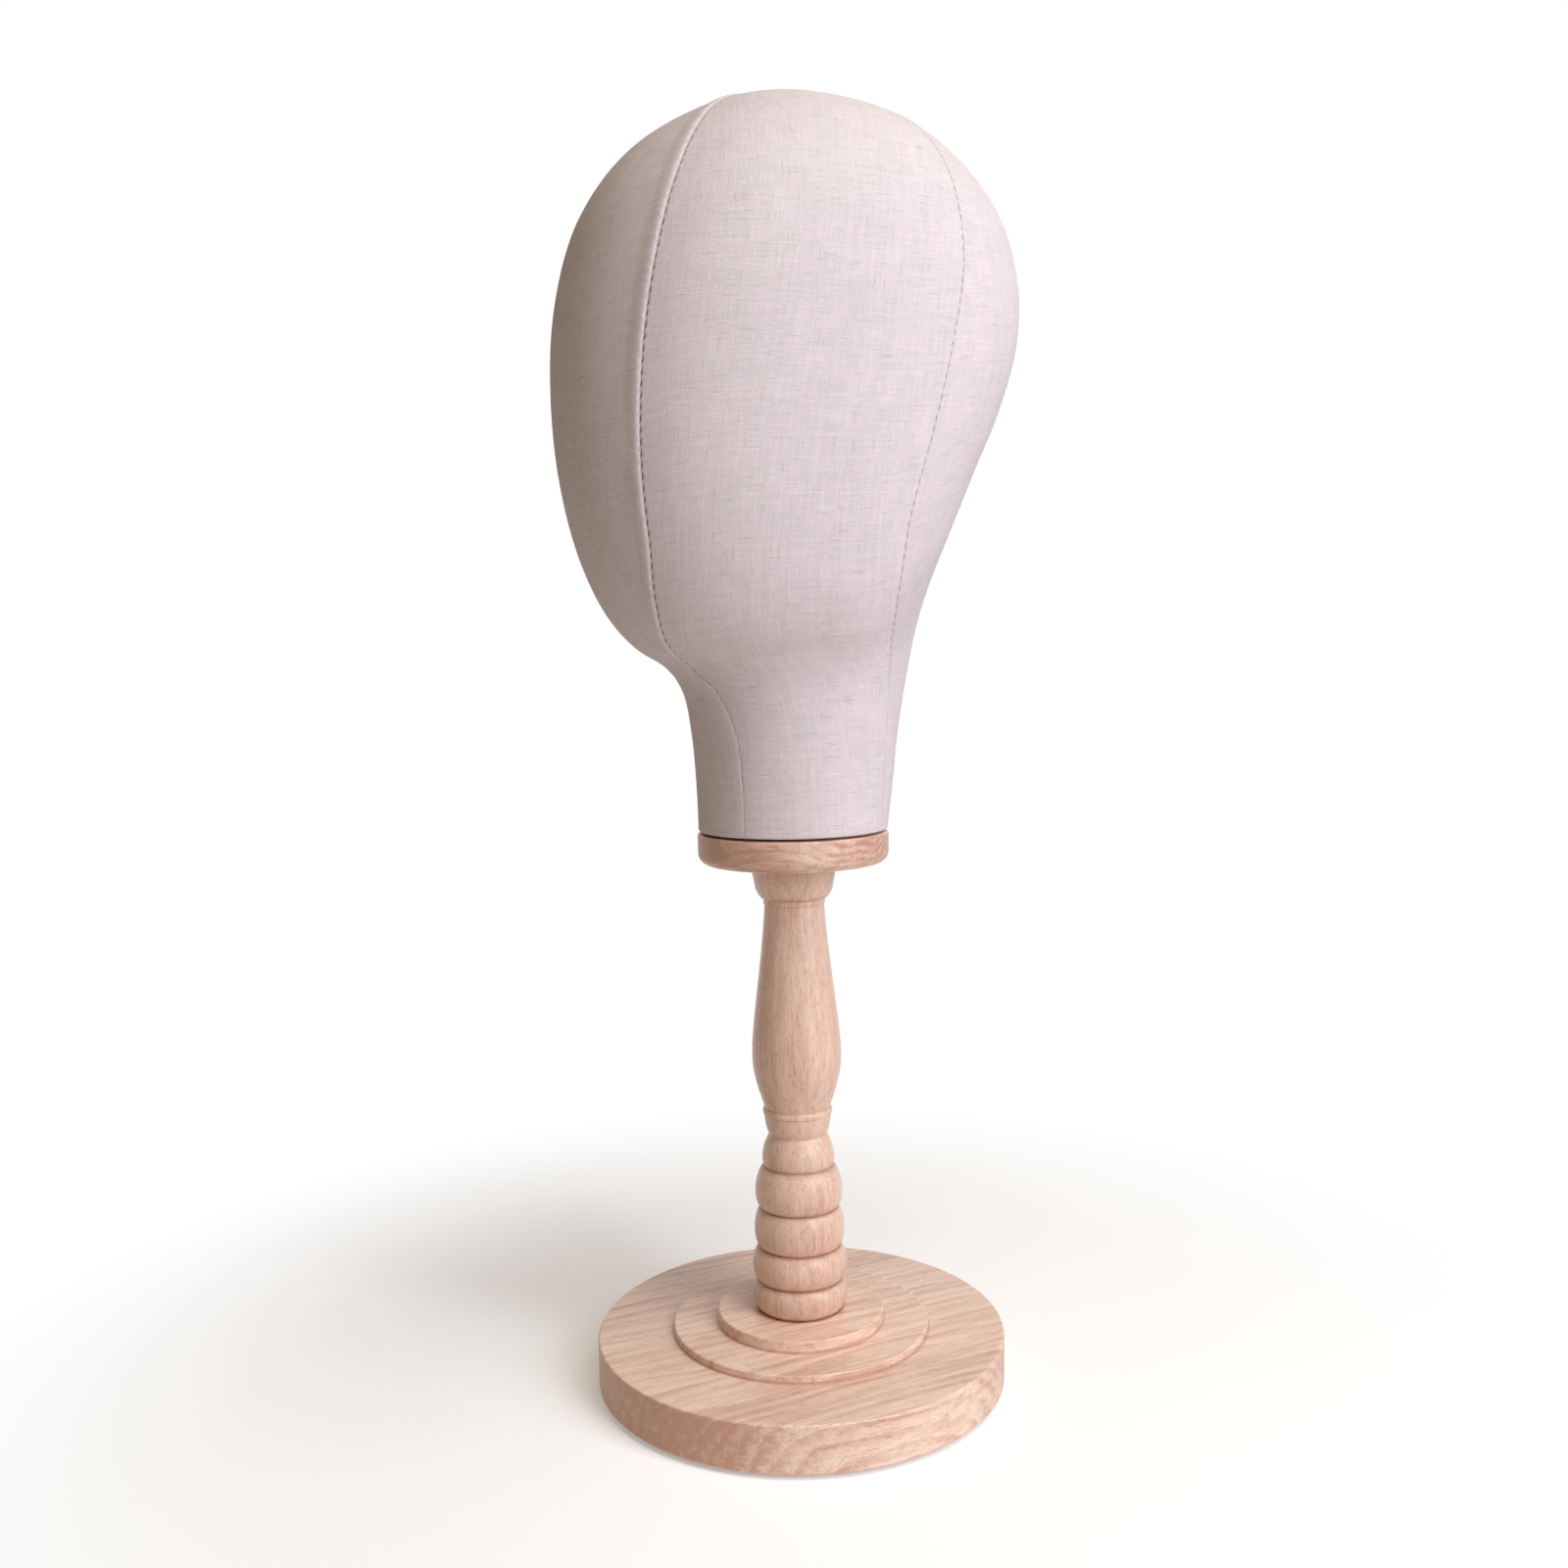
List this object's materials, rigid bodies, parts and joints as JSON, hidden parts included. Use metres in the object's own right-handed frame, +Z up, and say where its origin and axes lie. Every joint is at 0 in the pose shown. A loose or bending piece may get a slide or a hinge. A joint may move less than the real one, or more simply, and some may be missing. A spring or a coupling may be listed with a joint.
{
  "type": "mannequin head",
  "caption": "Featureless linen-covered display head for hats and wigs, screwed on a turned wooden post with a stepped round base.",
  "frame": {"origin": "on the post's axis, at the surface the object stands on", "axes": "+Z up along the post, -Y towards the face, +X towards the head's left ear"},
  "size_m": [0.18, 0.2005, 0.5495],
  "materials": {
    "linen": "plain-woven natural linen with fine slubs, matt",
    "beech": "pale pinkish hardwood, fine straight grain, thin satin varnish",
    "inner_wood": "unfinished pale wood",
    "form_shell": "moulded fibreglass, matt",
    "steel": "bright zinc-plated steel",
    "felt": "dense grey-brown felt"
  },
  "bodies": {
    "stand": {"base": "beech", "base_pad_1": "felt", "base_pad_2": "felt", "base_pad_3": "felt", "base_pad_4": "felt", "base_bolt": "steel", "base_washer": "steel", "foot_insert": "steel", "post": "beech", "post_insert": "steel"},
    "stud": {"hanger_stud": "steel"},
    "head": {"neck_disc": "beech", "disc_screw_1": "steel", "disc_screw_2": "steel", "disc_screw_3": "steel", "neck_plug": "inner_wood", "tee_nut": "steel", "head_core": "form_shell", "face_panel": "linen", "left_panel": "linen", "back_panel": "linen", "right_panel": "linen"}
  },
  "joints": [
    {"name": "head_lift", "type": "slide", "parent": "stand", "child": "stud", "axis": [0, 0, 1], "range_m": [0, 0.0166]},
    {"name": "head_turn", "type": "hinge", "parent": "stud", "child": "head", "pos_m": [0, 0, 0.23], "axis": [0, 0, 1], "range_deg": [0, 4770]}
  ],
  "couplings": [
    {"joint": "head_lift", "follows": "head_turn", "m_per_rad": 0.00019894}
  ]
}
